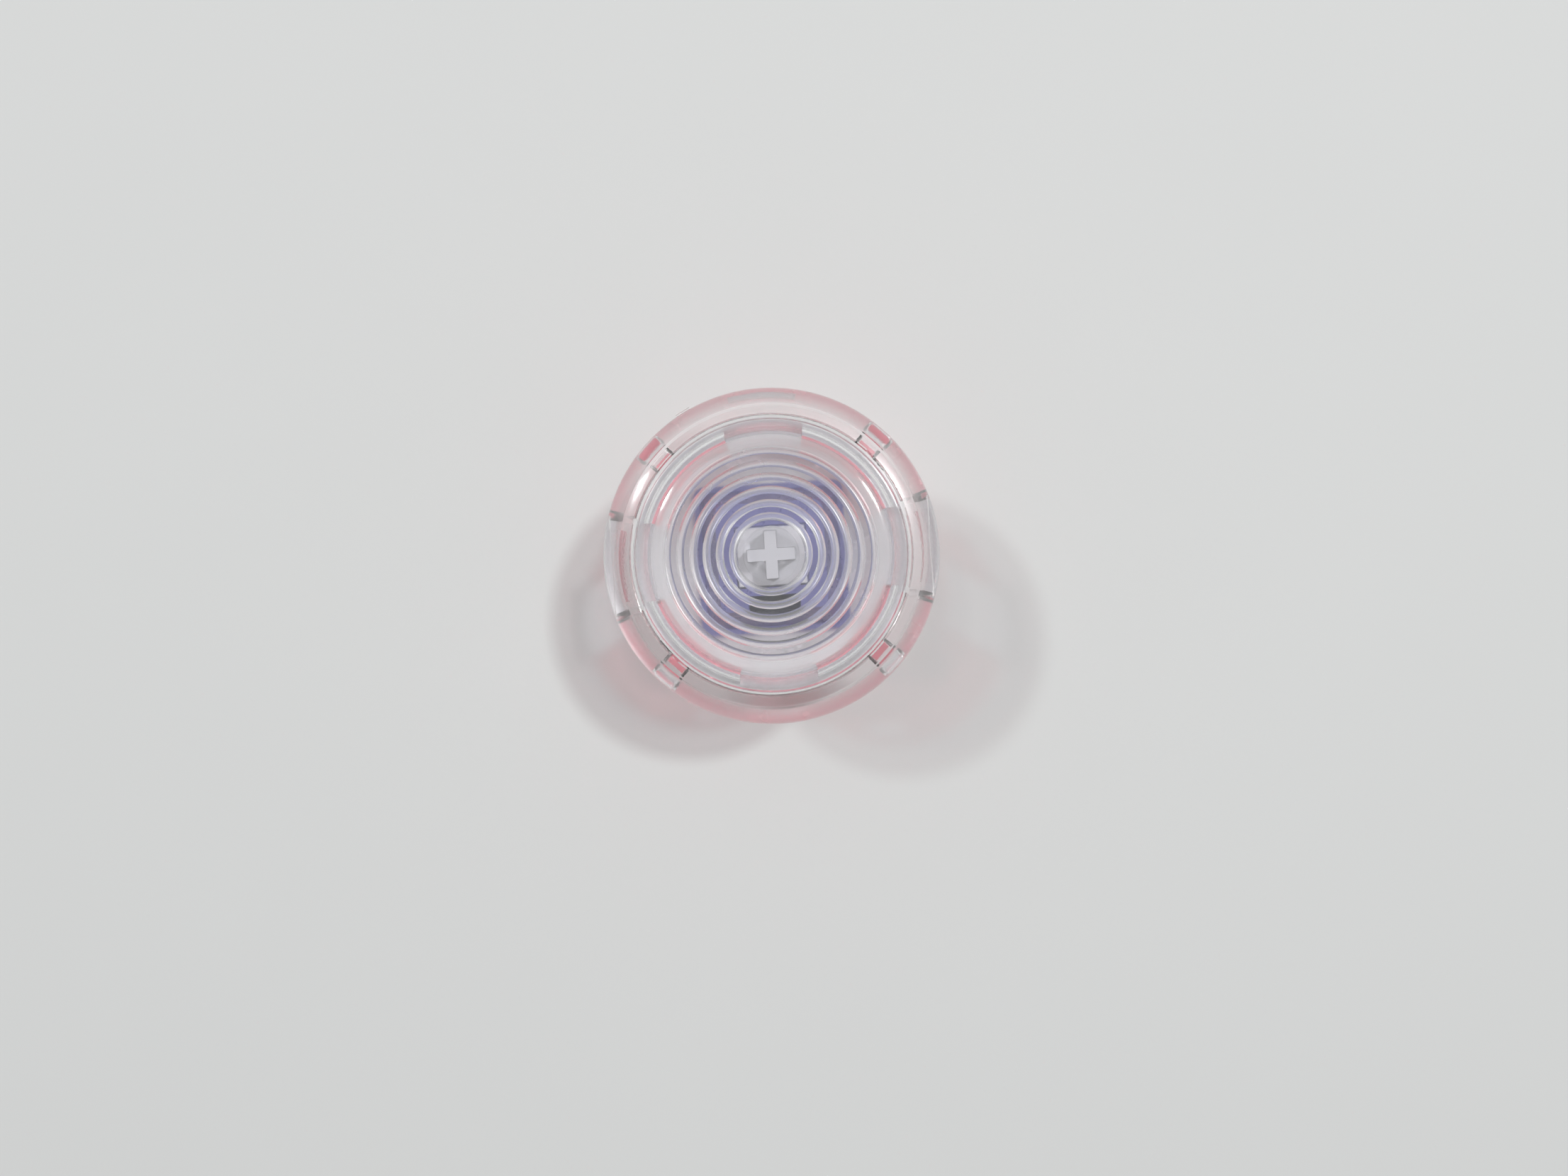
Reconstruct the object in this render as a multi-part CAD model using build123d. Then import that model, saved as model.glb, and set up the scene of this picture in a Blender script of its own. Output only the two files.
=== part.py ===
from build123d import *
import math
import os

# Snap-in arcade push button, in millimetres. The origin is on the button's axis in the plane of the
# panel's face, where the bezel seats. +Z points out of the panel, towards the finger.

# Panel and bezel collar
panel_hole_diameter = 30.0
panel_clearance = 0.4
bezel_diameter = 33.4
bezel_height = 3.5
bezel_rim_height = 0.85
bezel_shoulder_inset = 1.9
bezel_shoulder_drop = 0.22
bezel_dome_tilt = 17.0
bezel_flank_tilt = 27.0
bezel_inner_round = 0.45
bezel_edge_chamfer = 0.2
barrel_wall = 1.0
barrel_length = 14.6
gate_width = 1.6
gate_height = 0.5
gate_depth = 0.2
gate_angle = 118.0

# Snap arms, one at each end of the X axis
arm_width = 8.3
arm_slit = 0.6
arm_root_depth = 12.4
arm_top_gap = 0.7
arm_relief = 0.3
hook_reach = 0.9
hook_catch_depth = 2.2
hook_catch_rise = 0.7
hook_nose = 0.5
hook_ramp = 5.2
hook_width = 6.9

# Plunger
plunger_diameter = 26.2
plunger_side_clearance = 0.25
plunger_proud = 2.8
plunger_travel = 3.2
plunger_end_clearance = 0.3
cap_thickness = 0.8
cap_edge_round = 2.5
skirt_wall = 0.8
groove_count = 6
groove_first_radius = 3.57
groove_pitch = 1.25
groove_width = 0.75
groove_depth = 0.16
post_diameter = 5.4
post_length = 5.4
leg_count = 4
leg_width = 7.3
leg_wall = 1.25
leg_inset = 0.25
leg_end_clearance = 0.1
leg_hook_width = 5.0
leg_hook_height = 0.5
leg_hook_lip = 0.2
leg_hook_reach = 0.5

# Inner body
body_fit = 0.1
body_wall = 0.7
body_drop = 1.0
foot_diameter = 24.0
foot_wall = 1.2
foot_round = 0.5
foot_shoulder_gap = 0.4
foot_shoulder_height = 1.0
keyway_clearance = 0.15
keyway_end_clearance = 0.4
hook_slot_clearance = 0.3
hook_stop_gap = 0.05
arm_window_width = 8.5
lug_width = 2.2
lug_height = 1.5
lug_lip = 0.4
lug_reach = 0.85
lug_drop = 2.2
lug_clearance = 0.2
lug_window_round = 0.5
ledge_reach = 1.25
ledge_height = 0.6
ledge_span = 24.0
bump_reach = 0.35
bump_height = 0.9
bump_span = 10.0
bump_gap = 0.05
wire_notch_width = 6.0
wire_notch_height = 4.5

# Switch carrier
carrier_thickness = 1.5
carrier_fit = 0.15
carrier_hole_clearance = 0.05
pillar_diameter = 2.0
pillar_x = 3.2
pillar_y = 8.8

# Key switch
stem_cross_length = 4.6
stem_cross_width = 1.15
stem_cross_height = 3.6
stem_socket_clearance = 0.03
stem_seat_gap = 0.1
stem_block_x = 6.8
stem_block_y = 5.8
stem_collar_x = 8.2
stem_collar_y = 6.6
stem_collar_drop = 1.3
stem_block_height = 3.4
stem_pin_diameter = 1.8
stem_pin_length = 4.4
cam_width = 1.2
cam_spacing = 3.4
cam_depth = 0.5
cam_length = 2.6
upper_height = 6.6
upper_flange = 15.6
upper_flange_thickness = 1.0
upper_base = 14.4
upper_top = 10.8
upper_corner_round = 1.0
upper_wall = 1.0
upper_roof = 1.0
upper_opening_clearance = 0.2
window_width = 5.2
window_near = 3.9
window_far = 6.3
lower_size = 13.95
lower_depth = 5.0
lower_taper = 0.35
lower_wall = 0.95
lower_floor = 1.2
lower_post_diameter = 4.0
lower_post_length = 3.3
lower_nub_width = 4.0
lower_nub_reach = 0.3
lower_nub_height = 0.8
lower_nub_gap = 0.05
spring_tube_wall = 0.5
spring_tube_clearance = 0.2
spring_tube_gap = 0.2
spring_mean_diameter = 4.2
spring_wire = 0.3
spring_wire_sides = 6
spring_turns = 7.5
spring_end_gap = 0.05

# Contacts and their pins
strip_thickness = 0.25
pin_width = 1.0
pin_hole_clearance = 0.1
fixed_pin_x = 2.54
fixed_pin_y = 5.08
moving_pin_x = -3.81
moving_pin_y = 2.54
fixed_strip_width = 3.0
fixed_strip_height = 4.4
moving_strip_height = 3.6
moving_leaf_height = 1.4
moving_leaf_reach = 2.9
moving_leaf_y = 4.35
contact_gap = 0.15
tip_width = 0.8
tip_height = 0.5
contact_foot_gap = 0.1

# Circuit board, terminals and solder
board_diameter = 21.2
board_thickness = 1.6
board_hole_clearance = 0.05
terminal_x = 8.7
terminal_width = 2.8
terminal_thickness = 0.5
terminal_length = 8.3
terminal_shoulder_width = 4.0
terminal_shoulder_height = 1.2
terminal_tail_width = 1.5
terminal_tail_rise = 0.7
terminal_tip_chamfer = 0.6
terminal_hole_diameter = 1.2
terminal_hole_from_tip = 2.4
terminal_slot_clearance = 0.1
shroud_margin = 4.0
solder_diameter = 2.0
solder_top_diameter = 1.4
solder_height = 0.9
pin_solder_height = 1.2

# Radii that follow from the sizes above
bezel_radius = bezel_diameter / 2
barrel_radius = panel_hole_diameter / 2 - panel_clearance
socket_radius = barrel_radius - barrel_wall
plunger_radius = plunger_diameter / 2
bezel_bore_radius = plunger_radius + plunger_side_clearance
body_radius = socket_radius - body_fit
body_bore_radius = body_radius - body_wall
foot_radius = foot_diameter / 2
foot_bore_radius = foot_radius - foot_wall
leg_outer_radius = plunger_radius - leg_inset
leg_inner_radius = leg_outer_radius - leg_wall
keyway_radius = leg_outer_radius + keyway_clearance
post_radius = post_diameter / 2
board_radius = board_diameter / 2

# Heights that follow from the sizes above, with the plunger at rest
cap_top = bezel_height + plunger_proud
cap_underside = cap_top - cap_thickness
body_top = -body_drop
skirt_bottom = body_top + plunger_travel + plunger_end_clearance
post_bottom = cap_underside - post_length
switch_top = post_bottom - stem_seat_gap
cross_top = switch_top + stem_cross_height
stem_underside = switch_top - stem_block_height
flange_top = switch_top - upper_height + upper_flange_thickness
carrier_top = switch_top - upper_height
carrier_bottom = carrier_top - carrier_thickness
leg_pressed = carrier_top + leg_end_clearance
leg_bottom = leg_pressed + plunger_travel
board_top = carrier_top - lower_depth
board_bottom = board_top - board_thickness
cavity_floor = board_top + lower_floor
pin_end = board_top - lower_post_length
terminal_tip = board_bottom - terminal_length
shoulder_high = board_bottom - foot_shoulder_gap
shoulder_low = shoulder_high - foot_shoulder_height
foot = terminal_tip - shroud_margin

FROM_BELOW = (Align.CENTER, Align.CENTER, Align.MIN)
ARM_ANGLES = (0, 180)
HOOKED_LEG_ANGLES = (90, 270)
DIAGONALS = (45, 135, 225, 315)


def turned(outline, arc=360.0):
    """Turn a closed (radius, height) outline about the button's axis, centred on +X."""
    solid = revolve(Plane.XZ * make_face(outline), Axis.Z, arc)
    return Rot(0, 0, -arc / 2) * solid if arc < 360 else solid


def tube(outer, inner, low, high):
    height = high - low
    outside = Cylinder(outer, height, align=FROM_BELOW)
    inside = Cylinder(inner, height, align=FROM_BELOW)
    return Pos(0, 0, low) * (outside - inside)


def post(radius, low, high):
    return Pos(0, 0, low) * Cylinder(radius, high - low, align=FROM_BELOW)


def block(x_low, x_high, y_low, y_high, low, high):
    size = Box(x_high - x_low, y_high - y_low, high - low)
    return Pos((x_low + x_high) / 2, (y_low + y_high) / 2, (low + high) / 2) * size


def square_block(x_size, y_size, low, high):
    return block(-x_size / 2, x_size / 2, -y_size / 2, y_size / 2, low, high)


def around(shape, angles):
    """One copy of a shape at each angle about the button's axis."""
    return [Rot(0, 0, angle) * shape for angle in angles]


def span_angle(width, radius):
    """The angle that a chord of this width covers at this radius, in degrees."""
    return 2 * math.degrees(math.asin(width / 2 / radius))


def slope(angle):
    """The direction at this angle in an outline, in degrees up from outwards."""
    turn = math.radians(angle)
    return (math.cos(turn), math.sin(turn))


# Bezel collar: rounded bezel ring, barrel and two snap arms in one clear moulding

def bezel_and_barrel():
    step = body_top + body_fit
    inner_start = (bezel_bore_radius, bezel_height - bezel_inner_round)
    crest = (bezel_bore_radius + bezel_inner_round, bezel_height)
    shoulder = (bezel_radius - bezel_shoulder_inset, bezel_height - bezel_shoulder_drop)
    rim = (bezel_radius, bezel_rim_height)
    outline = [
        Line((bezel_bore_radius, step), inner_start),
        RadiusArc(inner_start, crest, bezel_inner_round),
        TangentArc(shoulder, crest, tangent=slope(180 - bezel_dome_tilt)),
        TangentArc(shoulder, rim, tangent=slope(-bezel_flank_tilt)),
        Polyline(
            rim,
            (bezel_radius, bezel_edge_chamfer),
            (bezel_radius - bezel_edge_chamfer, 0),
            (barrel_radius, 0),
            (barrel_radius, -barrel_length),
            (socket_radius, -barrel_length),
            (socket_radius, step),
            (bezel_bore_radius, step),
        ),
    ]
    return turned(outline)


def snap_arm_gap():
    """The slits beside an arm at +X and the gap above it."""
    inner = bezel_bore_radius - plunger_side_clearance
    outer = barrel_radius + panel_clearance
    half_gap = arm_width / 2 + arm_slit
    half_arm = arm_width / 2
    gap = block(inner, outer, -half_gap, half_gap, -arm_root_depth, arm_relief)
    arm = block(inner, outer, -half_arm, half_arm, -arm_root_depth, -arm_top_gap)
    return gap - arm


def snap_hook():
    """The wedge on an arm at +X that grips the back of the panel."""
    root = barrel_radius - barrel_wall / 2
    nose = barrel_radius + hook_reach
    nose_high = -hook_catch_depth - hook_catch_rise
    nose_low = nose_high - hook_nose
    ramp_low = nose_low - hook_ramp
    outline = Polyline(
        (root, ramp_low),
        (barrel_radius, ramp_low),
        (nose, nose_low),
        (nose, nose_high),
        (barrel_radius, -hook_catch_depth),
        (root, -hook_catch_depth),
        close=True,
    )
    return turned(outline, span_angle(hook_width, barrel_radius))


def lug_window():
    """The rounded window at +X that a lug of the inner body clicks into."""
    low = body_top - lug_drop - lug_clearance
    high = low + lug_height + 2 * lug_clearance
    half = lug_width / 2 + lug_clearance
    cutter = block(socket_radius - body_fit, barrel_radius + panel_clearance, -half, half, low, high)
    return fillet(cutter.edges().filter_by(Axis.X), lug_window_round)


def gate_mark():
    """The small stub that the mould's gate leaves on the rim."""
    low = bezel_edge_chamfer
    reach = bezel_radius + gate_depth
    root = bezel_radius - bezel_edge_chamfer
    stub = block(root - gate_depth, reach, -gate_width / 2, gate_width / 2, low, low + gate_height)
    return Rot(0, 0, gate_angle) * stub


def make_bezel_collar():
    collar = bezel_and_barrel()
    collar -= around(snap_arm_gap(), ARM_ANGLES)
    collar += around(snap_hook(), ARM_ANGLES)
    collar -= around(lug_window(), DIAGONALS)
    return collar + gate_mark()


# Inner body: red tube with guide grooves, lugs, carrier ledges and a narrower foot

def body_shell():
    foot_corner = (foot_radius - foot_round, foot)
    foot_side = (foot_radius, foot + foot_round)
    outline = [
        Polyline(
            foot_side,
            (foot_radius, shoulder_low),
            (body_radius, shoulder_low),
            (body_radius, body_top),
            (body_bore_radius, body_top),
            (body_bore_radius, shoulder_high),
            (foot_bore_radius, shoulder_high),
            (foot_bore_radius, foot),
            foot_corner,
        ),
        RadiusArc(foot_corner, foot_side, -foot_round),
    ]
    return turned(outline)


def keyway():
    """The groove at +X that a plunger leg slides in."""
    low = leg_pressed - keyway_end_clearance
    half = leg_width / 2 + keyway_clearance
    inner = leg_inner_radius - keyway_clearance
    side = block(0, keyway_radius, -half, half, low, body_top)
    return tube(keyway_radius, inner, low, body_top) & side


def hook_slot():
    """The slot at +X through the groove's wall, whose upper end stops the leg's hook."""
    high = leg_bottom + leg_hook_height + hook_stop_gap
    low = leg_pressed - keyway_end_clearance
    half = leg_hook_width / 2 + hook_slot_clearance
    return block(0, socket_radius, -half, half, low, high)


def arm_window():
    """The opening at +X that leaves a snap arm room to bend inwards."""
    half = arm_window_width / 2
    return block(0, socket_radius, -half, half, -arm_root_depth, body_top)


def lug():
    """The lug at +X that holds the bezel collar on the inner body."""
    low = body_top - lug_drop
    root = body_radius - body_wall / 2
    reach = body_radius + lug_reach
    outline = Polyline(
        (root, low),
        (reach, low),
        (reach, low + lug_lip),
        (body_radius, low + lug_height),
        (root, low + lug_height),
        close=True,
    )
    return extrude(Plane.XZ * make_face(outline), lug_width / 2, both=True)


def carrier_ledge():
    root = body_bore_radius + body_wall / 2
    reach = body_bore_radius - ledge_reach
    lip = carrier_bottom - ledge_height
    outline = Polyline(
        (root, carrier_bottom),
        (reach, carrier_bottom),
        (reach, lip),
        (root, lip - (root - reach)),
        close=True,
    )
    return turned(outline, ledge_span)


def carrier_bump():
    """The snap bump that keeps the carrier down on its ledge."""
    root = body_bore_radius + body_wall / 2
    low = carrier_top + bump_gap
    outline = Polyline(
        (root, low),
        (body_bore_radius - bump_reach, low),
        (body_bore_radius, low + bump_height),
        (root, low + bump_height),
        close=True,
    )
    return turned(outline, bump_span)


def wire_notch():
    """The arched notches through the foot's rim, along Y, where the wires leave."""
    arch = wire_notch_width / 2
    spring_line = foot + wire_notch_height - arch
    straight = block(-arch, arch, -body_radius, body_radius, foot, spring_line)
    crown = Pos(0, 0, spring_line) * Rot(90, 0, 0) * Cylinder(arch, 2 * body_radius)
    return straight + crown


def make_inner_body():
    body = body_shell()
    body -= around(keyway(), HOOKED_LEG_ANGLES)
    body -= around(hook_slot(), HOOKED_LEG_ANGLES)
    body -= around(arm_window(), ARM_ANGLES)
    body += around(lug(), DIAGONALS)
    body += around(carrier_ledge(), DIAGONALS)
    body += around(carrier_bump(), DIAGONALS)
    return body - wire_notch()


# Plunger: grooved clear cap, skirt, guide legs and the post for the stem's cross

def rounded_disc(radius, edge_round, low, high):
    edge_low = (radius, high - edge_round)
    edge_high = (radius - edge_round, high)
    outline = [
        Polyline(edge_high, (0, high), (0, low), (radius, low), edge_low),
        RadiusArc(edge_low, edge_high, -edge_round),
    ]
    return turned(outline)


def cap_and_skirt():
    inner_round = cap_edge_round - cap_thickness
    outside = rounded_disc(plunger_radius, cap_edge_round, skirt_bottom, cap_top)
    inside = rounded_disc(plunger_radius - skirt_wall, inner_round, skirt_bottom, cap_underside)
    return outside - inside


def cap_grooves():
    round_radius = (groove_width**2 / 4 + groove_depth**2) / (2 * groove_depth)
    centre = cap_top + round_radius - groove_depth
    radii = [groove_first_radius + groove_pitch * i for i in range(groove_count)]
    return [Pos(0, 0, centre) * Torus(radius, round_radius) for radius in radii]


def stem_cross(length, width, low, high):
    return square_block(length, width, low, high) + square_block(width, length, low, high)


def plunger_leg():
    """The leg at +X, which ends above in the middle of the cap's wall."""
    half = leg_width / 2
    high = cap_top - cap_thickness / 2
    side = block(0, leg_outer_radius, -half, half, leg_bottom, high)
    within = rounded_disc(plunger_radius, cap_edge_round, leg_bottom, high)
    return tube(leg_outer_radius, leg_inner_radius, leg_bottom, high) & side & within


def leg_hook():
    root = leg_outer_radius - leg_wall / 2
    reach = leg_outer_radius + leg_hook_reach
    high = leg_bottom + leg_hook_height
    outline = Polyline(
        (root, leg_bottom),
        (leg_outer_radius, leg_bottom),
        (reach, high - leg_hook_lip),
        (reach, high),
        (root, high),
        close=True,
    )
    return turned(outline, span_angle(leg_hook_width, leg_outer_radius))


def make_plunger():
    plunger = cap_and_skirt()
    plunger += around(plunger_leg(), [360 / leg_count * i for i in range(leg_count)])
    plunger += around(leg_hook(), HOOKED_LEG_ANGLES)
    plunger += post(post_radius, post_bottom, cap_underside)
    socket_length = stem_cross_length + 2 * stem_socket_clearance
    socket_width = stem_cross_width + 2 * stem_socket_clearance
    socket_top = cross_top + stem_socket_clearance
    plunger -= stem_cross(socket_length, socket_width, post_bottom, socket_top)
    return plunger - cap_grooves()


# Switch carrier: clear plate that holds the key switch, with pillars down to the board

def make_switch_carrier():
    plate = post(body_bore_radius - carrier_fit, carrier_bottom, carrier_top)
    hole = lower_size + 2 * carrier_hole_clearance
    plate -= square_block(hole, hole, carrier_bottom, carrier_top)
    for x in (-pillar_x, pillar_x):
        for y in (-pillar_y, pillar_y):
            plate += Pos(x, y, 0) * post(pillar_diameter / 2, board_top, carrier_bottom)
    return plate


# Key switch: upper and lower housing, stem, spring and contacts

def tapered_block(low_size, high_size, corner, low, high):
    base = Pos(0, 0, low) * RectangleRounded(low_size, low_size, corner)
    top = Pos(0, 0, high) * RectangleRounded(high_size, high_size, corner)
    return loft([base, top])


def make_switch_upper_housing():
    flange_outline = RectangleRounded(upper_flange, upper_flange, upper_corner_round)
    housing = Pos(0, 0, carrier_top) * extrude(flange_outline, upper_flange_thickness)
    housing += tapered_block(upper_base, upper_top, upper_corner_round, flange_top, switch_top)
    inner_base = upper_base - 2 * upper_wall
    inner_top = upper_top - 2 * upper_wall
    inner_round = upper_corner_round / 2
    housing -= tapered_block(inner_base, inner_top, inner_round, flange_top, switch_top - upper_roof)
    housing -= square_block(inner_base, inner_base, carrier_top, flange_top)
    opening_x = max(stem_block_x, post_diameter) + 2 * upper_opening_clearance
    opening_y = max(stem_block_y, post_diameter) + 2 * upper_opening_clearance
    housing -= square_block(opening_x, opening_y, flange_top, switch_top)
    half = window_width / 2
    housing -= block(-half, half, -window_far, -window_near, flange_top, switch_top)
    return housing


def contact_pin(x, y, low, high):
    half = pin_width / 2
    return block(x - half, x + half, y - strip_thickness / 2, y + strip_thickness / 2, low, high)


def pin_hole(x, y, low, high):
    half_x = pin_width / 2 + pin_hole_clearance
    half_y = strip_thickness / 2 + pin_hole_clearance
    return block(x - half_x, x + half_x, y - half_y, y + half_y, low, high)


def make_switch_lower_housing():
    bottom_size = lower_size - 2 * lower_taper
    housing = tapered_block(bottom_size, lower_size, upper_corner_round / 2, board_top, carrier_top)
    inner = bottom_size - 2 * lower_wall
    housing -= square_block(inner, inner, cavity_floor, carrier_top)
    bore_radius = stem_pin_diameter / 2 + spring_tube_clearance
    tube_top = stem_underside - plunger_travel - spring_tube_gap
    housing += post(bore_radius + spring_tube_wall, cavity_floor, tube_top)
    housing += post(lower_post_diameter / 2, pin_end, board_top)
    bore_low = stem_underside - stem_pin_length - plunger_travel - plunger_end_clearance
    housing -= post(bore_radius, bore_low, tube_top)
    nub_high = carrier_bottom - lower_nub_gap
    nub_low = nub_high - lower_nub_height
    nub_half = lower_nub_width / 2
    nub_root = inner / 2 + lower_wall / 2
    nub_out = lower_size / 2 + lower_nub_reach
    nub = block(-nub_half, nub_half, nub_root, nub_out, nub_low, nub_high)
    housing += around(nub, (0, 180))
    for x, y in ((fixed_pin_x, fixed_pin_y), (moving_pin_x, moving_pin_y)):
        housing -= pin_hole(x, y, board_top, cavity_floor)
    return housing


def make_switch_stem():
    collar_top = switch_top - stem_collar_drop
    stem = stem_cross(stem_cross_length, stem_cross_width, switch_top, cross_top)
    stem += square_block(stem_block_x, stem_block_y, collar_top, switch_top)
    stem += square_block(stem_collar_x, stem_collar_y, stem_underside, collar_top)
    stem += post(stem_pin_diameter / 2, stem_underside - stem_pin_length, stem_underside)
    cam_inner = stem_collar_y / 2 - cam_depth
    for x in (-cam_spacing / 2, cam_spacing / 2):
        cam = block(x - cam_width / 2, x + cam_width / 2, cam_inner, stem_collar_y / 2,
                    stem_underside - cam_length, stem_underside)
        stem += cam
    return stem


def make_switch_spring():
    radius = spring_mean_diameter / 2
    low = cavity_floor + spring_wire / 2 + spring_end_gap
    high = stem_underside - spring_wire / 2 - spring_end_gap
    height = high - low
    path = Pos(0, 0, low) * Helix(height / spring_turns, height, radius)
    section = Plane(origin=path @ 0, z_dir=path % 0) * RegularPolygon(spring_wire / 2, spring_wire_sides)
    return sweep(section, path=path, is_frenet=True)


def make_fixed_contact():
    low = cavity_floor + contact_foot_gap
    half = fixed_strip_width / 2
    y_low = fixed_pin_y - strip_thickness / 2
    y_high = fixed_pin_y + strip_thickness / 2
    strip = block(fixed_pin_x - half, fixed_pin_x + half, y_low, y_high, low, low + fixed_strip_height)
    return strip + contact_pin(fixed_pin_x, fixed_pin_y, pin_end, low)


def make_moving_contact():
    low = cavity_floor + contact_foot_gap
    high = low + moving_strip_height
    leaf_low = high - moving_leaf_height
    root_half = pin_width / 2
    side_x = moving_pin_x - root_half
    leaf_y_high = moving_leaf_y + strip_thickness
    foot_plate = block(side_x, moving_pin_x + root_half, moving_pin_y - strip_thickness / 2,
                       moving_pin_y + strip_thickness / 2, low, high)
    side_y = moving_pin_y - strip_thickness / 2
    side = block(side_x, side_x + strip_thickness, side_y, leaf_y_high, low, high)
    leaf = block(side_x, moving_leaf_reach, moving_leaf_y, leaf_y_high, leaf_low, high)
    strip = foot_plate + side + leaf
    return strip + contact_pin(moving_pin_x, moving_pin_y, pin_end, low)


def tip_heights():
    top = cavity_floor + contact_foot_gap + moving_strip_height
    middle = top - moving_leaf_height / 2
    return middle - tip_height / 2, middle + tip_height / 2


def tip_depth():
    """Each contact bar fills half of the room between the two strips, less the open gap."""
    room = fixed_pin_y - strip_thickness / 2 - moving_leaf_y - strip_thickness
    return (room - contact_gap) / 2


def make_moving_contact_tip():
    low, high = tip_heights()
    face = moving_leaf_y + strip_thickness
    x = moving_leaf_reach - tip_width
    return block(x - tip_width / 2, x + tip_width / 2, face, face + tip_depth(), low, high)


def make_fixed_contact_tip():
    low, high = tip_heights()
    face = fixed_pin_y - strip_thickness / 2
    x = moving_leaf_reach - tip_width
    return block(x - tip_width / 2, x + tip_width / 2, face - tip_depth(), face, low, high)


# Circuit board, terminals and solder

def make_circuit_board():
    board = post(board_radius, board_bottom, board_top)
    board -= post(lower_post_diameter / 2 + board_hole_clearance, board_bottom, board_top)
    for x, y in ((fixed_pin_x, fixed_pin_y), (moving_pin_x, moving_pin_y)):
        board -= Pos(x, y, 0) * post(pin_width / 2 + pin_hole_clearance, board_bottom, board_top)
    half_x = terminal_thickness / 2 + terminal_slot_clearance
    half_y = terminal_tail_width / 2 + terminal_slot_clearance
    for x in (-terminal_x, terminal_x):
        board -= block(x - half_x, x + half_x, -half_y, half_y, board_bottom, board_top)
    return board


def make_terminal(x):
    half = terminal_width / 2
    shoulder = terminal_shoulder_width / 2
    shoulder_low = board_bottom - terminal_shoulder_height
    tail = terminal_tail_width / 2
    tail_top = board_top + terminal_tail_rise
    outline = Polyline(
        (half - terminal_tip_chamfer, terminal_tip),
        (half, terminal_tip + terminal_tip_chamfer),
        (half, shoulder_low),
        (shoulder, shoulder_low),
        (shoulder, board_bottom),
        (tail, board_bottom),
        (tail, tail_top),
        (-tail, tail_top),
        (-tail, board_bottom),
        (-shoulder, board_bottom),
        (-shoulder, shoulder_low),
        (-half, shoulder_low),
        (-half, terminal_tip + terminal_tip_chamfer),
        (-half + terminal_tip_chamfer, terminal_tip),
        close=True,
    )
    blade = extrude(Plane.YZ * make_face(outline), terminal_thickness / 2, both=True)
    hole = Rot(0, 90, 0) * Cylinder(terminal_hole_diameter / 2, terminal_thickness)
    blade -= Pos(0, 0, terminal_tip + terminal_hole_from_tip) * hole
    return Pos(x, 0, 0) * blade


def solder_cone(height):
    return Cone(solder_diameter / 2, solder_top_diameter / 2, height, align=FROM_BELOW)


def make_pin_solder(x, y):
    cone = Pos(x, y, board_bottom) * Rot(180, 0, 0) * solder_cone(pin_solder_height)
    return cone - contact_pin(x, y, pin_end, board_top)


def make_terminal_solder(x):
    cone = Pos(x, 0, board_top) * solder_cone(solder_height)
    return cone - make_terminal(x)


def make_nodes():
    return {
        "bezel_collar": make_bezel_collar(),
        "inner_body": make_inner_body(),
        "plunger": make_plunger(),
        "switch_carrier": make_switch_carrier(),
        "switch_upper_housing": make_switch_upper_housing(),
        "switch_lower_housing": make_switch_lower_housing(),
        "switch_stem": make_switch_stem(),
        "switch_spring": make_switch_spring(),
        "fixed_contact": make_fixed_contact(),
        "fixed_contact_tip": make_fixed_contact_tip(),
        "moving_contact": make_moving_contact(),
        "moving_contact_tip": make_moving_contact_tip(),
        "circuit_board": make_circuit_board(),
        "terminal_left": make_terminal(-terminal_x),
        "terminal_right": make_terminal(terminal_x),
        "solder_fixed_pin": make_pin_solder(fixed_pin_x, fixed_pin_y),
        "solder_moving_pin": make_pin_solder(moving_pin_x, moving_pin_y),
        "solder_terminal_left": make_terminal_solder(-terminal_x),
        "solder_terminal_right": make_terminal_solder(terminal_x),
    }


os.makedirs("parts", exist_ok=True)
for node, shape in make_nodes().items():
    export_step(shape, f"parts/{node}.step")
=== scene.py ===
import math

import bmesh
import bpy
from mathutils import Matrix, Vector


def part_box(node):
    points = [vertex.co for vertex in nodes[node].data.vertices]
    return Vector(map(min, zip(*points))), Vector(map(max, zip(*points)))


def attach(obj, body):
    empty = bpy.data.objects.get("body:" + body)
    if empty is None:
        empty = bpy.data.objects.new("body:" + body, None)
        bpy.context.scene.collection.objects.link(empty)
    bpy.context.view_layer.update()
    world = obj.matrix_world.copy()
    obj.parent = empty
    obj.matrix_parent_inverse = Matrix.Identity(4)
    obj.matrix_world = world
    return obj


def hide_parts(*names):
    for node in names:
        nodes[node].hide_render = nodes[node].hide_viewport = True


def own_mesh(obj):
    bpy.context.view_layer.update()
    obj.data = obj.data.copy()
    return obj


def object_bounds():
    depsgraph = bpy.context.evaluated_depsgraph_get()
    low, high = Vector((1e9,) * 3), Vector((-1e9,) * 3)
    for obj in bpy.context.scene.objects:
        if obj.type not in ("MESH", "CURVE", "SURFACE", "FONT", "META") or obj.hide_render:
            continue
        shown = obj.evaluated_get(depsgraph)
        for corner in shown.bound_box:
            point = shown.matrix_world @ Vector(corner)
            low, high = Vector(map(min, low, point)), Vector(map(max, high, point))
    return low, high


# A clear and red snap-in push button, in metres, on a pale floor and seen from straight above.
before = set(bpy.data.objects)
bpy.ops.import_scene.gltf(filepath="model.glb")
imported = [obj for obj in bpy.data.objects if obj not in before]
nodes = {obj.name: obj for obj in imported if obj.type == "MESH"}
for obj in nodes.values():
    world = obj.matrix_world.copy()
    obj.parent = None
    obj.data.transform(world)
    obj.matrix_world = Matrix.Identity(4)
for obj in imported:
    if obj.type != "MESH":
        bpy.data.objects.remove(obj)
cad_low, cad_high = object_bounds()
MM = 0.001

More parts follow.
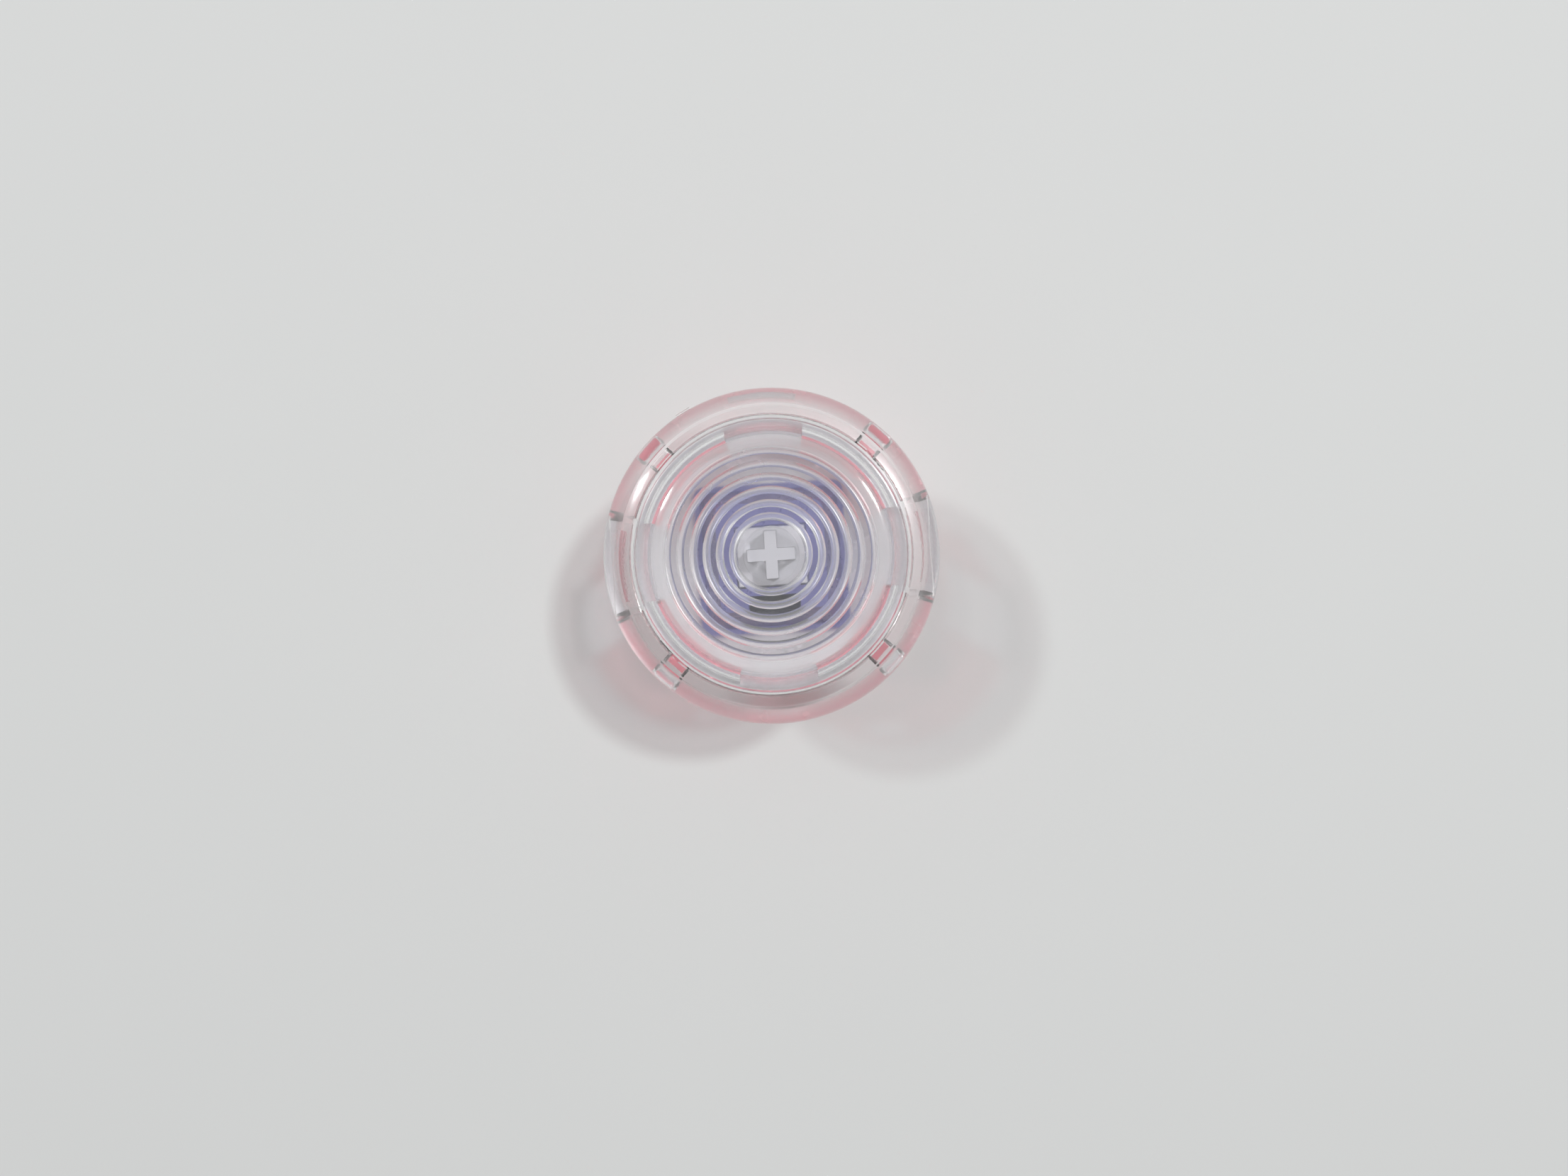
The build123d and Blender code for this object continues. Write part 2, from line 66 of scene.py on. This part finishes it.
# Camera, from the photograph's scale, perspective and framing
PHOTO_WIDTH_PX = 2212
FOCAL_PX = 1500
SENSOR_WIDTH = 36.0
CAMERA_TURN = math.radians(-3.8)
CAMERA_HEIGHT = 106.4 * MM
CAMERA_RIGHT = 1.23 * MM
CAMERA_UP = -3.2 * MM

# Light: the shares of the floor's light that come from the two lamps and the surroundings, which the
# camera and the clear plastics see at a level of their own
LAMP_DISTANCE = 0.9
LAMP_WIDTH = 0.07
RIGHT_LAMP = {"share": 0.46, "zenith": 25.6, "bearing": 55.0}
LEFT_LAMP = {"share": 0.24, "zenith": 35.2, "bearing": 300.0}
SURROUND_SHARE = 0.30
SURROUND_SEEN = 0.60
FLOOR_COLOUR = (0.69, 0.70, 0.695, 1.0)
FLOOR_WIDTH = 3.0
GLASS_BOUNCES = 24
SHADOW_BOUNCES = 32

# Grooves in the plunger's cap
GROOVE_FIRST_RADIUS = 3.57 * MM
GROOVE_LAST_RADIUS = 9.82 * MM
GROOVE_PITCH = 1.25 * MM
GROOVE_WIDTH = 0.75 * MM
GROOVE_DEPTH = 0.16 * MM
CAP_TOP = 6.3 * MM
SKIRT_TOP = 4.5 * MM

# Hazy ring round the cap, between the last groove and the guide legs
HAZE_RADIUS = 10.7 * MM
HAZE_WIDTH = 1.6 * MM

# Shares of light that the plunger's surface scatters, and roughness added to its polish
LAND_HAZE = 0.065
GROOVE_HAZE = 0.17
RING_HAZE = 0.27
EDGE_HAZE = 0.10
SKIRT_HAZE = 0.3
GROOVE_ROUGHNESS = 0.18
SKIRT_ROUGHNESS = 0.08

# Coil spring under the stem
SPRING_TURNS = 7.5
SPRING_WIRE_RADIUS = 0.15 * MM
SPRING_SIDES = 12
SPRING_STEPS_PER_TURN = 48


class Nodes:
    """A material's node tree with a few short ways to add to it."""

    def __init__(self, name):
        self.material = bpy.data.materials.new(name)
        self.material.use_nodes = True
        self.tree = self.material.node_tree
        self.tree.nodes.clear()
        self.output = self.add("ShaderNodeOutputMaterial")
        self.place = self.add("ShaderNodeTexCoord").outputs["Object"]

    def add(self, kind, **settings):
        node = self.tree.nodes.new(kind)
        for key, value in settings.items():
            setattr(node, key, value)
        return node

    def link(self, source, target):
        self.tree.links.new(source, target)

    def feed(self, value, socket):
        """Link a socket, or set a plain value."""
        if isinstance(value, bpy.types.NodeSocket):
            self.link(value, socket)
        else:
            socket.default_value = value

    def math(self, operation, first, second=0.0):
        node = self.add("ShaderNodeMath", operation=operation)
        self.feed(first, node.inputs[0])
        self.feed(second, node.inputs[1])
        return node.outputs[0]

    def noise(self, grain, detail=3.0):
        """Noise whose lumps are about one grain across, in metres."""
        node = self.add("ShaderNodeTexNoise")
        node.inputs["Scale"].default_value = 1.0 / grain
        node.inputs["Detail"].default_value = detail
        self.link(self.place, node.inputs["Vector"])
        return node.outputs["Fac"]

    def spread(self, value, low, high, from_low=0.3, from_high=0.7):
        """Map a noise value, which stays near its middle, on to a range."""
        node = self.add("ShaderNodeMapRange", interpolation_type="SMOOTHSTEP")
        self.feed(value, node.inputs["Value"])
        node.inputs["From Min"].default_value = from_low
        node.inputs["From Max"].default_value = from_high
        node.inputs["To Min"].default_value = low
        node.inputs["To Max"].default_value = high
        return node.outputs["Result"]

    def blend(self, share, first, second):
        node = self.add("ShaderNodeMix", data_type="RGBA")
        self.feed(share, node.inputs["Factor"])
        self.feed(first, node.inputs["A"])
        self.feed(second, node.inputs["B"])
        return node.outputs["Result"]

    def bump(self, height, depth, strength=1.0):
        node = self.add("ShaderNodeBump")
        node.inputs["Strength"].default_value = strength
        node.inputs["Distance"].default_value = depth
        self.link(height, node.inputs["Height"])
        return node.outputs["Normal"]

    def radius(self):
        """Distance from the button's axis."""
        flat = self.add("ShaderNodeVectorMath", operation="MULTIPLY")
        self.link(self.place, flat.inputs[0])
        flat.inputs[1].default_value = (1.0, 1.0, 0.0)
        length = self.add("ShaderNodeVectorMath", operation="LENGTH")
        self.link(flat.outputs[0], length.inputs[0])
        return length.outputs["Value"]

    def height(self):
        """Height above the panel's face."""
        parts = self.add("ShaderNodeSeparateXYZ")
        self.link(self.place, parts.inputs[0])
        return parts.outputs["Z"]

    def clear_share(self, outside, inside=1.0):
        """How much of the light passes a surface from outside, and from within where that is more."""
        within = self.add("ShaderNodeNewGeometry").outputs["Backfacing"]
        return self.math("MAXIMUM", self.math("MULTIPLY", within, inside), outside)

    def principled(self, colour, roughness, normal=None, **values):
        shader = self.add("ShaderNodeBsdfPrincipled")
        self.feed(colour, shader.inputs["Base Color"])
        self.feed(roughness, shader.inputs["Roughness"])
        if normal is not None:
            self.link(normal, shader.inputs["Normal"])
        for key, value in values.items():
            self.feed(value, shader.inputs[key.replace("_", " ")])
        return shader

    def finish(self, shader, lamp_colour=None):
        """Connect the shader. With a lamp colour, lamps shine through it in that colour."""
        surface = shader.outputs[0]
        if lamp_colour is not None:
            clear = self.add("ShaderNodeBsdfTransparent")
            self.feed(lamp_colour, clear.inputs["Color"])
            path = self.add("ShaderNodeLightPath")
            mix = self.add("ShaderNodeMixShader")
            self.link(path.outputs["Is Shadow Ray"], mix.inputs[0])
            self.link(surface, mix.inputs[1])
            self.link(clear.outputs[0], mix.inputs[2])
            surface = mix.outputs[0]
        self.link(surface, self.output.inputs["Surface"])
        return self.material


# See-through plastics

def satin_clear():
    """Clear plastic with a fine spark-eroded grain on the bezel and a polished barrel below it."""
    n = Nodes("satin_clear")
    on_bezel = n.math("GREATER_THAN", n.height(), 0.01 * MM)
    grain = n.math("MULTIPLY", n.noise(0.16 * MM, 2.0), on_bezel)
    satin = n.spread(n.noise(4 * MM), 0.05, 0.09)
    roughness = n.math("MULTIPLY", satin, on_bezel)
    normal = n.bump(grain, 0.01 * MM, 0.3)
    passing = n.clear_share(0.96)
    shader = n.principled((0.98, 0.98, 0.985, 1), roughness, normal, IOR=1.5, Transmission_Weight=passing,
                          Coat_Weight=0.6, Coat_Roughness=0.26, Coat_Normal=normal)
    return n.finish(shader, n.blend(on_bezel, (0.80, 0.78, 0.79, 1), (0.66, 0.60, 0.61, 1)))


def grooved_clear():
    """Clear plastic, polished on the cap's lands and duller in its grooves, skirt and legs."""
    n = Nodes("grooved_clear")
    radius = n.radius()
    half = GROOVE_WIDTH / 2
    from_groove = n.math("PINGPONG", n.math("SUBTRACT", radius, GROOVE_FIRST_RADIUS), GROOVE_PITCH / 2)
    near_groove = n.spread(from_groove, 1.0, 0.0, half * 0.9, half * 1.1)
    past_first = n.math("GREATER_THAN", radius, GROOVE_FIRST_RADIUS - half)
    before_end = n.math("LESS_THAN", radius, GROOVE_LAST_RADIUS + half)
    on_top = n.math("GREATER_THAN", n.height(), CAP_TOP - 1.2 * GROOVE_DEPTH)
    on_face = n.math("MULTIPLY", on_top, n.math("MULTIPLY", past_first, before_end))
    in_groove = n.math("MULTIPLY", near_groove, on_face)
    scratch = n.noise(0.12 * MM, 4.0)
    polished = n.spread(n.noise(5 * MM), 0.05, 0.10)
    below_cap = n.math("LESS_THAN", n.height(), SKIRT_TOP)
    on_skirt = n.math("MULTIPLY", below_cap, n.math("GREATER_THAN", radius, HAZE_RADIUS))
    groove_roughness = n.math("MULTIPLY", in_groove, GROOVE_ROUGHNESS)
    skirt_roughness = n.math("MULTIPLY", on_skirt, SKIRT_ROUGHNESS)
    roughness = n.math("ADD", polished, n.math("ADD", groove_roughness, skirt_roughness))
    normal = n.bump(scratch, 0.006 * MM, 0.4)
    on_cap = n.math("GREATER_THAN", n.height(), SKIRT_TOP)
    ring_start = HAZE_RADIUS - HAZE_WIDTH / 2
    ring_end = HAZE_RADIUS + HAZE_WIDTH / 2
    rise = n.spread(radius, 0.0, RING_HAZE, ring_start, ring_start + HAZE_WIDTH / 4)
    fall = n.spread(radius, 0.0, RING_HAZE - EDGE_HAZE, ring_end - HAZE_WIDTH / 4, ring_end)
    ring_haze = n.math("MULTIPLY", on_cap, n.math("SUBTRACT", rise, fall))
    haze = n.math("ADD", n.math("MULTIPLY", in_groove, GROOVE_HAZE), ring_haze)
    skirt_haze = n.math("MULTIPLY", on_skirt, SKIRT_HAZE)
    outside = n.math("SUBTRACT", n.math("SUBTRACT", 1.0 - LAND_HAZE, haze), skirt_haze)
    passing = n.clear_share(outside, n.math("SUBTRACT", 1.0, skirt_haze))
    colour = n.blend(on_skirt, (0.98, 0.98, 0.985, 1), (0.78, 0.76, 0.775, 1))
    shader = n.principled(colour, roughness, normal, IOR=1.5, Transmission_Weight=passing)
    return n.finish(shader, (0.90, 0.90, 0.91, 1))


def milky_clear():
    """Plastic that lets light through but blurs what lies behind it."""
    n = Nodes("milky_clear")
    roughness = n.spread(n.noise(3 * MM), 0.18, 0.3)
    normal = n.bump(n.noise(0.3 * MM), 0.01 * MM, 0.4)
    shader = n.principled((0.50, 0.50, 0.52, 1), roughness, normal, IOR=1.5, Transmission_Weight=0.2)
    return n.finish(shader, (0.75, 0.75, 0.77, 1))


def red_clear():
    """Red plastic that glows where light passes its thin walls."""
    n = Nodes("red_clear")
    cloud = n.noise(6 * MM)
    colour = n.blend(cloud, (0.92, 0.32, 0.40, 1), (0.87, 0.27, 0.35, 1))
    roughness = n.spread(n.noise(2 * MM), 0.15, 0.28)
    normal = n.bump(n.noise(0.25 * MM), 0.01 * MM, 0.4)
    shader = n.principled(colour, roughness, normal, IOR=1.5, Transmission_Weight=0.5)
    return n.finish(shader, (0.82, 0.55, 0.57, 1))


def smoky_indigo():
    """Dark blue plastic that lets a little light through."""
    n = Nodes("smoky_indigo")
    cloud = n.noise(3 * MM)
    colour = n.blend(cloud, (0.14, 0.137, 0.34, 1), (0.09, 0.088, 0.27, 1))
    roughness = n.spread(n.noise(1.5 * MM), 0.25, 0.4)
    normal = n.bump(n.noise(0.15 * MM), 0.008 * MM, 0.4)
    shader = n.principled(colour, roughness, normal, IOR=1.5, Transmission_Weight=0.25)
    return n.finish(shader, (0.35, 0.36, 0.62, 1))


# Solid plastics

def moulded_plastic(name, colour, other_colour, rough_low, rough_high):
    n = Nodes(name)
    shade = n.blend(n.noise(2.5 * MM), colour, other_colour)
    roughness = n.spread(n.noise(1.2 * MM), rough_low, rough_high)
    normal = n.bump(n.noise(0.12 * MM), 0.01 * MM, 0.4)
    return n.finish(n.principled(shade, roughness, normal, IOR=1.48))


# Metals

def drawn_metal(name, colour, other_colour, rough_low, rough_high):
    n = Nodes(name)
    shade = n.blend(n.noise(0.8 * MM), colour, other_colour)
    roughness = n.spread(n.noise(0.4 * MM), rough_low, rough_high)
    normal = n.bump(n.noise(0.08 * MM, 5.0), 0.006 * MM, 0.5)
    return n.finish(n.principled(shade, roughness, normal, Metallic=1.0))


def make_spring():
    """The coil spring as a round wire, standing where the solid one is."""
    low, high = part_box("switch_spring")
    coil_radius = (high.x - low.x) / 2 - SPRING_WIRE_RADIUS
    base = low.z + SPRING_WIRE_RADIUS
    rise = high.z - low.z - 2 * SPRING_WIRE_RADIUS
    steps = int(SPRING_TURNS * SPRING_STEPS_PER_TURN)
    mesh = bmesh.new()
    rings = []
    for step in range(steps + 1):
        share = step / steps
        turn = 2 * math.pi * SPRING_TURNS * share
        outward = Vector((math.cos(turn), math.sin(turn), 0))
        centre = outward * coil_radius + Vector((0, 0, base + rise * share))
        ring = []
        for side in range(SPRING_SIDES):
            angle = 2 * math.pi * side / SPRING_SIDES
            offset = outward * math.cos(angle) + Vector((0, 0, math.sin(angle)))
            ring.append(mesh.verts.new(centre + offset * SPRING_WIRE_RADIUS))
        rings.append(ring)
    for first, second in zip(rings, rings[1:]):
        for side in range(SPRING_SIDES):
            after = (side + 1) % SPRING_SIDES
            mesh.faces.new((first[side], first[after], second[after], second[side]))
    mesh.faces.new(rings[0])
    mesh.faces.new(rings[-1])
    bmesh.ops.recalc_face_normals(mesh, faces=mesh.faces)
    data = bpy.data.meshes.new("coil_spring")
    mesh.to_mesh(data)
    mesh.free()
    for face in data.polygons:
        face.use_smooth = len(face.vertices) == 4
    spring = bpy.data.objects.new("coil_spring", data)
    bpy.context.scene.collection.objects.link(spring)
    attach(spring, "housing")
    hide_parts("switch_spring")
    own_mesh(spring)
    return spring


def dress(names, material):
    for name in names:
        data = nodes[name].data
        data.materials.clear()
        data.materials.append(material)


def dress_all():
    dress(["bezel_collar"], satin_clear())
    dress(["plunger"], grooved_clear())
    dress(["switch_carrier"], milky_clear())
    dress(["inner_body"], red_clear())
    dress(["switch_upper_housing"], smoky_indigo())
    dark = moulded_plastic("dark_plastic", (0.035, 0.037, 0.05, 1), (0.05, 0.052, 0.065, 1), 0.35, 0.5)
    dress(["switch_lower_housing"], dark)
    pale = moulded_plastic("pale_plastic", (0.46, 0.455, 0.48, 1), (0.42, 0.415, 0.45, 1), 0.3, 0.45)
    dress(["switch_stem"], pale)
    board = moulded_plastic("board_mask", (0.80, 0.80, 0.79, 1), (0.74, 0.75, 0.74, 1), 0.35, 0.55)
    dress(["circuit_board"], board)
    bronze = drawn_metal("contact_bronze", (0.74, 0.50, 0.28, 1), (0.62, 0.40, 0.22, 1), 0.25, 0.4)
    dress(["fixed_contact", "moving_contact"], bronze)
    gold = drawn_metal("contact_gold", (0.90, 0.68, 0.28, 1), (0.82, 0.58, 0.22, 1), 0.15, 0.25)
    dress(["fixed_contact_tip", "moving_contact_tip"], gold)
    tin = drawn_metal("tinned_brass", (0.78, 0.77, 0.74, 1), (0.68, 0.67, 0.64, 1), 0.25, 0.4)
    dress(["terminal_left", "terminal_right"], tin)
    solder = drawn_metal("solder", (0.70, 0.71, 0.73, 1), (0.60, 0.61, 0.63, 1), 0.2, 0.35)
    dress([name for name in nodes if name.startswith("solder_")], solder)
    steel = drawn_metal("spring_steel", (0.70, 0.69, 0.67, 1), (0.58, 0.57, 0.55, 1), 0.2, 0.35)
    make_spring().data.materials.append(steel)


# Stage, light and camera

def make_floor():
    half = FLOOR_WIDTH / 2
    data = bpy.data.meshes.new("floor")
    corners = [(-half, -half, 0), (half, -half, 0), (half, half, 0), (-half, half, 0)]
    data.from_pydata(corners, [], [(0, 1, 2, 3)])
    floor = bpy.data.objects.new("floor", data)
    floor.location.z = cad_low.z
    bpy.context.scene.collection.objects.link(floor)
    n = Nodes("floor_paint")
    darker = tuple(channel * 0.985 for channel in FLOOR_COLOUR[:3]) + (1.0,)
    colour = n.blend(n.noise(30 * MM), FLOOR_COLOUR, darker)
    data.materials.append(n.finish(n.principled(colour, 0.7, Specular_IOR_Level=0.2)))


def image_direction(bearing):
    """The floor direction that points this many degrees clockwise from the picture's top."""
    angle = math.radians(bearing)
    up = Vector((-math.sin(CAMERA_TURN), math.cos(CAMERA_TURN), 0))
    right = Vector((math.cos(CAMERA_TURN), math.sin(CAMERA_TURN), 0))
    return up * math.cos(angle) + right * math.sin(angle)


def make_lamp(name, share, zenith, bearing):
    lean = math.radians(zenith)
    towards = image_direction(bearing) * math.sin(lean) + Vector((0, 0, math.cos(lean)))
    light = bpy.data.lights.new(name, "AREA")
    light.shape = "DISK"
    light.size = LAMP_WIDTH
    light.energy = math.pi**2 * LAMP_DISTANCE**2 * share / math.cos(lean)
    lamp = bpy.data.objects.new(name, light)
    lamp.location = towards * LAMP_DISTANCE
    lamp.rotation_mode = "QUATERNION"
    lamp.rotation_quaternion = towards.to_track_quat("Z", "Y")
    lamp.visible_transmission = False
    bpy.context.scene.collection.objects.link(lamp)


def make_world():
    """Plain pale surroundings, which the camera and clear plastics see at their own level."""
    world = bpy.data.worlds.new("surround")
    world.use_nodes = True
    tree = world.node_tree
    background = tree.nodes["Background"]
    background.inputs["Color"].default_value = (1.0, 1.0, 1.0, 1.0)
    path = tree.nodes.new("ShaderNodeLightPath")
    seen = path.outputs["Is Camera Ray"]
    for kind in ("Is Glossy Ray", "Is Transmission Ray"):
        either = tree.nodes.new("ShaderNodeMath")
        either.operation = "MAXIMUM"
        tree.links.new(seen, either.inputs[0])
        tree.links.new(path.outputs[kind], either.inputs[1])
        seen = either.outputs[0]
    strength = tree.nodes.new("ShaderNodeMapRange")
    strength.inputs["To Min"].default_value = SURROUND_SHARE
    strength.inputs["To Max"].default_value = SURROUND_SEEN
    tree.links.new(seen, strength.inputs["Value"])
    tree.links.new(strength.outputs["Result"], background.inputs["Strength"])
    bpy.context.scene.world = world


def make_camera():
    data = bpy.data.cameras.new("camera")
    data.sensor_width = SENSOR_WIDTH
    data.lens = SENSOR_WIDTH * FOCAL_PX / PHOTO_WIDTH_PX
    data.clip_start = 1 * MM
    data.clip_end = 10.0
    camera = bpy.data.objects.new("camera", data)
    place = image_direction(90) * CAMERA_RIGHT + image_direction(0) * CAMERA_UP
    camera.location = (place.x, place.y, CAMERA_HEIGHT)
    camera.rotation_euler = (0, 0, CAMERA_TURN)
    bpy.context.scene.collection.objects.link(camera)
    bpy.context.scene.camera = camera


dress_all()
make_floor()
make_lamp("right_lamp", **RIGHT_LAMP)
make_lamp("left_lamp", **LEFT_LAMP)
make_world()
make_camera()
bpy.context.scene.view_settings.view_transform = "Standard"
cycles = bpy.context.scene.cycles
cycles.max_bounces = GLASS_BOUNCES
cycles.transmission_bounces = GLASS_BOUNCES
cycles.transparent_max_bounces = SHADOW_BOUNCES
cycles.blur_glossy = 0.0
